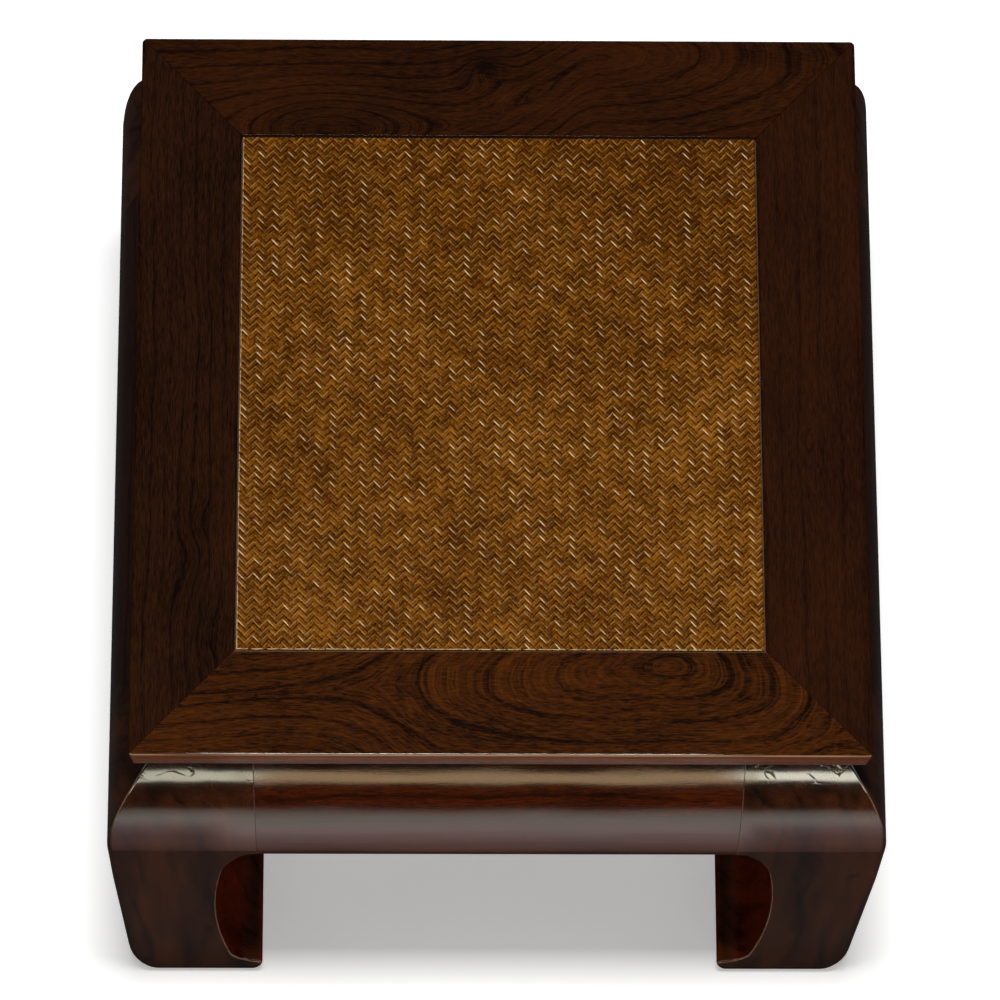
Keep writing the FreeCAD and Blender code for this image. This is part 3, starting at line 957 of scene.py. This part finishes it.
def cane():
    """Split cane under lacquer: golden skin, a painted highlight line at each left edge and painted shade
    at the right edge.
    """
    paint = Paint("cane")
    across, phase = paint.parts(paint.node("ShaderNodeUVMap", uv_map="strip").outputs[0])[:2]
    tone, falling = paint.parts(paint.node("ShaderNodeUVMap", uv_map="tone").outputs[0])[:2]
    along = paint.times(phase, cane_pitch)
    patch = paint.grain((9, 9, 0), None, 3.0, 0.6)
    spot = paint.grain((70, 70, 0), None, 2.0, 0.6)
    hair = paint.grain((7.0, 110.0, 40.0), paint.join(across, along, tone), 2.0, 0.6)
    speck = paint.grain((560, 560, 0), None, 2.0, 0.7)
    level = paint.times_plus(paint.minus(tone, 0.5), 0.22, 0.5)
    for noise, amount in ((patch, 0.20), (spot, 0.24), (hair, 0.26), (speck, 0.42)):
        level = paint.vary(level, noise, amount)
    blemish = paint.grain((16, 16, 0), None, 3.0, 0.65)
    level = paint.minus(level, paint.span(blemish, 0.64, 0.74, 0.0, 0.35))

    # Darker towards the back and the far right
    at = paint.parts()
    level = paint.plus(level, paint.span(at[1], -0.2, 0.2, 0.09, -0.10, "LINEAR"))
    far_right = paint.times(paint.span(at[0], -0.1, 0.2), paint.span(at[1], -0.05, 0.2))
    level = paint.times_plus(far_right, -0.07, level)
    colour = paint.ramp(
        level,
        [
            (0.0, (0.044, 0.0108, 0.0010)), (0.35, (0.097, 0.0290, 0.0018)),
            (0.65, (0.160, 0.0525, 0.0034)), (1.0, (0.265, 0.0960, 0.0085)),
        ],
    )

    # Painted shade and shadow at the right edge, a broken painted highlight line at the left edge
    colour = paint.blend(paint.span(across, 0.45, 1.0, 0.0, 0.50), colour, (0.040, 0.0110, 0.0010, 1))
    uneven = paint.span(paint.grain((210, 210, 0), None, 1.0), 0.38, 0.62, 0.12, 1.0)
    shadow = paint.times(paint.span(across, 0.66, 0.92), uneven)
    colour = paint.blend(shadow, colour, (0.020, 0.0055, 0.0006, 1))
    skip = paint.grain((120.0, 71.0, 0), paint.join(along, tone), 2.0, 0.6)
    broken = paint.times(paint.span(hair, 0.32, 0.60, 0.25, 1.0), paint.span(skip, 0.38, 0.62, 0.08, 1.0))
    light = paint.times(paint.span(across, 0.26, 0.10), broken)
    colour = paint.blend(paint.times(light, 0.90), colour, (0.40, 0.200, 0.042, 1))
    # Painted glints on the strips
    glint = cane_glints(paint, across, phase, tone, falling, patch)
    colour = paint.blend(paint.times(glint, 0.90), colour, (0.86, 0.70, 0.46, 1))
    return paint.finish(
        colour, paint.bump(hair, 0.10 * mm), Roughness=0.5, Specular_IOR_Level=0.0, Coat_Weight=0.02,
        Coat_Roughness=0.25, Coat_IOR=1.5,
    )


def cane_glints(paint, across, phase, tone, falling, patch):
    """Painted glints: short bright marks at the left edge, on some of the places where a strip lies on top.
    """
    cell = paint.math("FLOOR", paint.math("DIVIDE", paint.plus(phase, 1.0), 4.0))
    within = paint.times_plus(cell, -4.0, phase)
    from_middle = paint.math("ABSOLUTE", paint.minus(within, 1.0))
    inputs = {"Vector": paint.join(cell, paint.times(tone, 977.0))}
    chance = paint.node("ShaderNodeTexWhiteNoise", inputs, noise_dimensions="2D").outputs["Value"]
    chance = paint.times_plus(falling, 0.30, chance)
    chance = paint.plus(chance, paint.span(patch, 0.35, 0.7, -0.12, 0.07, "LINEAR"))
    chance = paint.vary(chance, paint.grain((120, 13, 0), None, 1.0), 0.10, 0.35, 0.65)
    short = paint.times(paint.span(from_middle, 0.95, 0.35), paint.span(across, 0.25, 0.08))
    return paint.times(paint.span(chance, 0.80, 1.30), short)


def cut_cane(name, pale, dark):
    """Cut ends of the strips, with dark specks; their pale colour is partly painted highlight."""
    paint = Paint(name)
    speck = paint.grain((260, 260, 260), None, 2.0, 0.6)
    colour = paint.ramp(speck, [(0.35, dark), (0.6, pale)])
    return paint.finish(colour, paint.bump(speck, 0.2 * mm), Roughness=0.6)


def plain_wood(name, grain, pale, dark):
    """Sawn wood inside the table, unfinished."""
    paint = Paint(name)
    fibre = paint.grain([12 if axis == grain else 260 for axis in "XYZ"], None, 3.0, 0.6)
    rings = paint.grain([2 if axis == grain else 40 for axis in "XYZ"], None, 2.0, 0.5, 0.6)
    share = paint.plus(paint.times(fibre, 0.5), paint.times(rings, 0.6))
    colour = paint.ramp(share, [(0.3, dark), (0.8, pale)])
    return paint.finish(colour, paint.bump(fibre, 0.1 * mm), Roughness=0.75)


def zinc():
    """Zinc plated steel of the screws."""
    paint = Paint("zinc_plated")
    cloud = paint.grain((400, 400, 400), None, 2.0, 0.6)
    colour = paint.ramp(cloud, [(0.3, (0.42, 0.41, 0.38)), (0.7, (0.58, 0.57, 0.54))])
    return paint.finish(colour, paint.bump(cloud, 0.05 * mm), Metallic=1.0, Roughness=0.35)


def dress(piece, material):
    piece.data.materials.clear()
    piece.data.materials.append(material)
    for face in piece.data.polygons:
        face.material_index = 0


for side, rail in rails.items():
    dress(rail, top_materials[side])
for side, apron in aprons.items():
    dress(apron, apron_material if side in ("front", "back") else side_apron_material)
for leg in legs:
    dress(leg, leg_material)
cane_material = cane()
for weave in weaves:
    dress(weave, cane_material)
# The cut ends' pale colours are partly painted highlight
dress(front_bead, cut_cane("cut_cane_pale", (0.62, 0.40, 0.17), (0.30, 0.14, 0.04)))
dress(left_bead, cut_cane("cut_cane_warm", (0.60, 0.38, 0.15), (0.16, 0.07, 0.015)))

inner_pale = (0.36, 0.21, 0.11)
inner_dark = (0.22, 0.12, 0.06)
inward_wood = plain_wood("sawn_inward", "Y", inner_pale, inner_dark)
upright_wood = plain_wood("sawn_upright", "Z", inner_pale, inner_dark)
zinc_material = zinc()
for name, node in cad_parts.items():
    if name in ("waist_front", "waist_back"):
        dress(node, apron_material)
    # Side waists share the sides' apron wood and its painted shade
    elif name.startswith("waist"):
        dress(node, side_apron_material)
    elif name == "mat_board":
        dress(node, plain_wood("stained_board", "X", (0.090, 0.036, 0.014), (0.045, 0.018, 0.008)))
    elif name.startswith("batten"):
        dress(node, inward_wood)
    elif name.startswith("corner_brace") or name == "mitre_pins":
        dress(node, upright_wood)
    elif name.endswith("screws"):
        dress(node, zinc_material)


# Floor, light and camera


def plane(name, centre, size_x, size_y):
    mesh = bpy.data.meshes.new(name)
    x, y, z = centre
    ways = [(-1, -1), (1, -1), (1, 1), (-1, 1)]
    corners = [(x + across * size_x / 2, y + inward * size_y / 2, z) for across, inward in ways]
    mesh.from_pydata(corners, [], [(0, 1, 2, 3)])
    return put_in(name, mesh)


# How light the floor is where the lacquer mirrors it, and what it adds for the camera
front_zone = -0.32
front_zone_end = front_zone + 0.1
floor_in_front = grey(0.034)
floor_behind = grey(0.016)
floor_beside = grey(0.026)
floor_glow = 0.360


def floor_material():
    """Floor that the camera sees as white where no shadow falls, and that is dark in the lacquer."""
    paint = Paint("floor_white")
    rays = paint.node("ShaderNodeLightPath").outputs
    seen = rays["Is Camera Ray"]
    at = paint.parts()
    mirrored = paint.blend(paint.span(at[1], front_zone, front_zone_end), floor_in_front, floor_behind)
    outward = paint.math("ABSOLUTE", at[0])
    beside = paint.times(paint.span(outward, 0.31, 0.36), paint.span(outward, 0.58, 0.44))
    beside = paint.times(beside, rays["Is Glossy Ray"])
    mirrored = paint.blend(beside, mirrored, floor_beside)
    colour = paint.blend(seen, mirrored, grey(1.0))
    diffuse = paint.node("ShaderNodeBsdfDiffuse", {"Color": colour})
    inputs = {"Color": grey(1.0), "Strength": paint.times(seen, floor_glow)}
    glow = paint.node("ShaderNodeEmission", inputs)
    return paint.surface(paint.node("ShaderNodeAddShader", {0: diffuse.outputs[0], 1: glow.outputs[0]}))


# The card's colours from its far edge to its near one, in the middle and towards its two ends
card_near = -0.44
card_far = -0.96
card_length = 1.5
card_middle = [
    (0.0, grey(0.12)), (0.12, (0.60, 0.61, 0.57)),
    (0.30, (1.0, 1.0, 0.94)), (0.48, (1.0, 0.96, 0.92)),
    (0.58, (0.98, 0.84, 0.85)), (0.70, (0.66, 0.52, 0.52)),
    (0.85, (0.38, 0.27, 0.26)), (1.0, (0.16, 0.10, 0.09)),
]
card_ends = [
    (0.0, grey(0.12)), (0.12, (0.62, 0.63, 0.60)),
    (0.30, (1.0, 1.0, 0.95)), (0.42, (0.85, 0.78, 0.78)),
    (0.52, (0.60, 0.48, 0.50)), (0.67, (0.34, 0.25, 0.26)),
    (0.85, (0.24, 0.15, 0.14)), (1.0, (0.10, 0.06, 0.06)),
]


def card_material():
    """Card on the floor in front, white to the camera and shaded towards both long edges in the lacquer."""
    paint = Paint("card_white")
    at = paint.parts()
    share = paint.span(at[1], card_far, card_near, kind="LINEAR")
    endward = paint.span(paint.math("ABSOLUTE", at[0]), 0.21, 0.25)
    colour = paint.blend(endward, paint.ramp(share, card_middle), paint.ramp(share, card_ends))
    lit = paint.node("ShaderNodeBsdfDiffuse", {"Color": colour})
    white = paint.node("ShaderNodeEmission", {"Color": grey(1.0)})
    seen = paint.node("ShaderNodeLightPath").outputs["Is Camera Ray"]
    inputs = {0: seen, 1: lit.outputs[0], 2: white.outputs[0]}
    return paint.surface(paint.node("ShaderNodeMixShader", inputs))


floor = plane("floor", (0, 0.3, -0.2 * mm), 5.0, 2.6)
dress(floor, floor_material())
card = plane("bounce_card", (0, (card_near + card_far) / 2, 0), card_length, card_near - card_far)
card.visible_shadow = False
dress(card, card_material())


def softbox(name, place, target, width, height, strength, colour=(1, 1, 1)):
    """A large soft lamp; without a target it faces straight down."""
    data = bpy.data.lights.new(name, "AREA")
    data.shape = "RECTANGLE"
    data.size = width
    data.size_y = height
    data.energy = strength
    data.color = colour
    lamp = put_in(name, data)
    lamp.location = place
    if target:
        lamp.rotation_euler = (Vector(target) - Vector(place)).to_track_quat("-Z", "Y").to_euler()


middle = (0, 0, 0.4)
calf_level = 0.30
front_distance = -1.35
softbox("key_above", (0.0, -0.28, 5.0), None, 0.80, 0.60, 194)
softbox("side_left", (-2.6, -0.6, 2.2), middle, 1.2, 1.2, 4)
softbox("side_right", (2.6, -0.6, 2.2), middle, 1.2, 1.2, 4)
for across in (-1, 1):
    softbox("low_side", (2.2 * across, -1.0, calf_level), (0, 0, calf_level), 1.2, 0.5, 2.2)
    softbox("low_back", (1.7 * across, 1.9, calf_level), (0, 0, calf_level), 1.2, 0.5, 7)
# Across, up, size both ways, strength and colour
front_lamps = {
    "low_front_left": (-0.659, 0.18, 0.882, 0.116, 2.1, (1.0, 0.97, 0.74)),
    "low_front_right": (0.679, 0.19, 0.842, 0.095, 2.6, (1.0, 0.97, 0.78)),
    "low_front_middle": (0.020, 0.170, 0.476, 0.130, 0.67, (1.0, 0.68, 0.38)),
}
for name, (across, height, *settings) in front_lamps.items():
    softbox(name, (across, front_distance, height), (across, 0, height), *settings)

# White to the camera, almost dark to everything else
sky_strength = 0.015
world = bpy.data.worlds.new("studio")
bpy.context.scene.world = world
sky = Nodes(world)
seen = sky.node("ShaderNodeLightPath").outputs["Is Camera Ray"]
dim = sky.node("ShaderNodeBackground", {"Color": grey(1.0), "Strength": sky_strength})
shown = sky.node("ShaderNodeBackground", {"Color": grey(1.0)})
pick = sky.node("ShaderNodeMixShader", {0: seen, 1: dim.outputs[0], 2: shown.outputs[0]})
sky.node("ShaderNodeOutputWorld", {0: pick.outputs[0]})

# Camera: angles in degrees, focal length in pixels of the thousand pixel picture
look_down = math.radians(70.6534)
look_round = math.radians(3.0481)
look_roll = math.radians(3.0641)
focal_pixels = 5347.9
picture_pixels = 1000
camera_place = (-71.87 * mm, -1436.04 * mm, 4398.56 * mm)

flat = math.cos(look_down)
forward = Vector((math.sin(look_round) * flat, math.cos(look_round) * flat, -math.sin(look_down)))
level = Vector((math.cos(look_round), -math.sin(look_round), 0))
upright = level.cross(forward)
right = level * math.cos(look_roll) + upright * math.sin(look_roll)
up = upright * math.cos(look_roll) - level * math.sin(look_roll)
camera_data = bpy.data.cameras.new("camera")
camera_data.sensor_width = 36
camera_data.lens = focal_pixels / picture_pixels * camera_data.sensor_width
camera_data.clip_end = 20
camera = put_in("camera", camera_data)
turn = Matrix((right, up, -forward)).transposed()
camera.matrix_world = Matrix.Translation(camera_place) @ turn.to_4x4()
bpy.context.scene.camera = camera
bpy.context.scene.view_settings.view_transform = "Standard"

bpy.context.view_layer.update()
